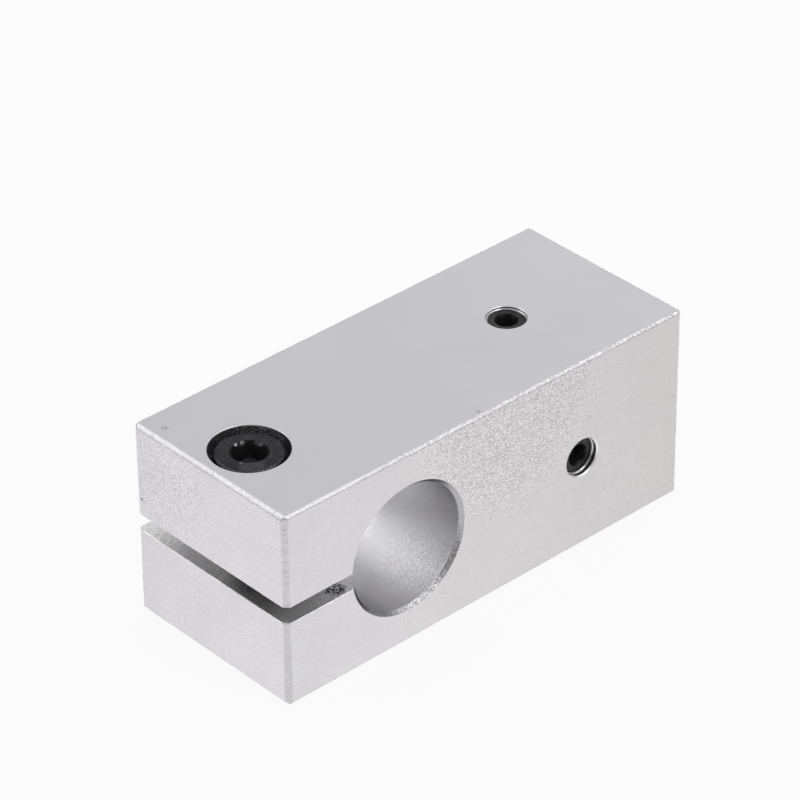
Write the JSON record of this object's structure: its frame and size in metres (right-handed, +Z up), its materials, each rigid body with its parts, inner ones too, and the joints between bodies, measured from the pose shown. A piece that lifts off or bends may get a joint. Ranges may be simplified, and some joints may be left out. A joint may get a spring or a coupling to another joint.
{
  "type": "t-type shaft clamp",
  "caption": "Square aluminium block that joins two round shafts at right angles: a slit cross bore closed by a cap screw, and a blind stem bore locked by set screws.",
  "frame": {"origin": "where the axes of the cross bore and the stem bore meet, at the middle of the block's width and height", "axes": "+X along the stem bore, out of its mouth; +Y along the cross bore; +Z up, out of the face that the clamp screw enters"},
  "size_m": [0.065, 0.027, 0.027],
  "materials": {
    "satin_aluminium": "satin milled top, finely blasted long sides, bright broken edges",
    "black_oxide_steel": "black oxide, slightly oily"
  },
  "bodies": {
    "block": {"clamp_block": "satin_aluminium"},
    "clamp_screw": {"clamp_screw": "black_oxide_steel"},
    "top_set_screw": {"top_set_screw": "black_oxide_steel"},
    "side_set_screw": {"side_set_screw": "black_oxide_steel"}
  },
  "joints": [
    {"name": "clamp_screw_travel", "type": "slide", "parent": "block", "child": "clamp_screw", "axis": [0, 0, 1], "range_m": [0, 0.0096]},
    {"name": "top_set_screw_travel", "type": "slide", "parent": "block", "child": "top_set_screw", "axis": [0, 0, 1], "range_m": [-0.0016, 0.0024]},
    {"name": "side_set_screw_travel", "type": "slide", "parent": "block", "child": "side_set_screw", "axis": [0, -1, 0], "range_m": [-0.0016, 0.0024]}
  ]
}
